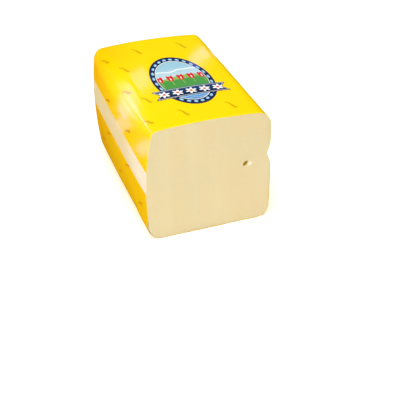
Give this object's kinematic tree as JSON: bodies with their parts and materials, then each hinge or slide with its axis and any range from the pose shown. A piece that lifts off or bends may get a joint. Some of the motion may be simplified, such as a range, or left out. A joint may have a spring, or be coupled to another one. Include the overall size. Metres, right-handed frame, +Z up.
{
  "type": "cheese block in film",
  "caption": "Half loaf of semi-hard yellow cheese in tight printed film, cut square across, with a small eye in the pale cut face and an oval emblem on top.",
  "frame": {"origin": "centre of the bounding box in plan, at the underside", "axes": "+Z up; the cut face looks along -Y and the closed back end along +Y; X runs across the block"},
  "size_m": [0.1042, 0.1536, 0.0988],
  "materials": {
    "cheese": "smooth moist cheese paste with a soft sheen",
    "printed_film": "glossy yellow printed film drawn tight over the cheese",
    "clear_film": "glossy clear film with the cheese showing through",
    "emblem_print": "glossy print in blue, white, red and green"
  },
  "bodies": {
    "root": {"cheese": "cheese", "film_upper": "printed_film", "film_window": "clear_film", "film_lower": "printed_film", "emblem": "emblem_print"}
  },
  "joints": []
}
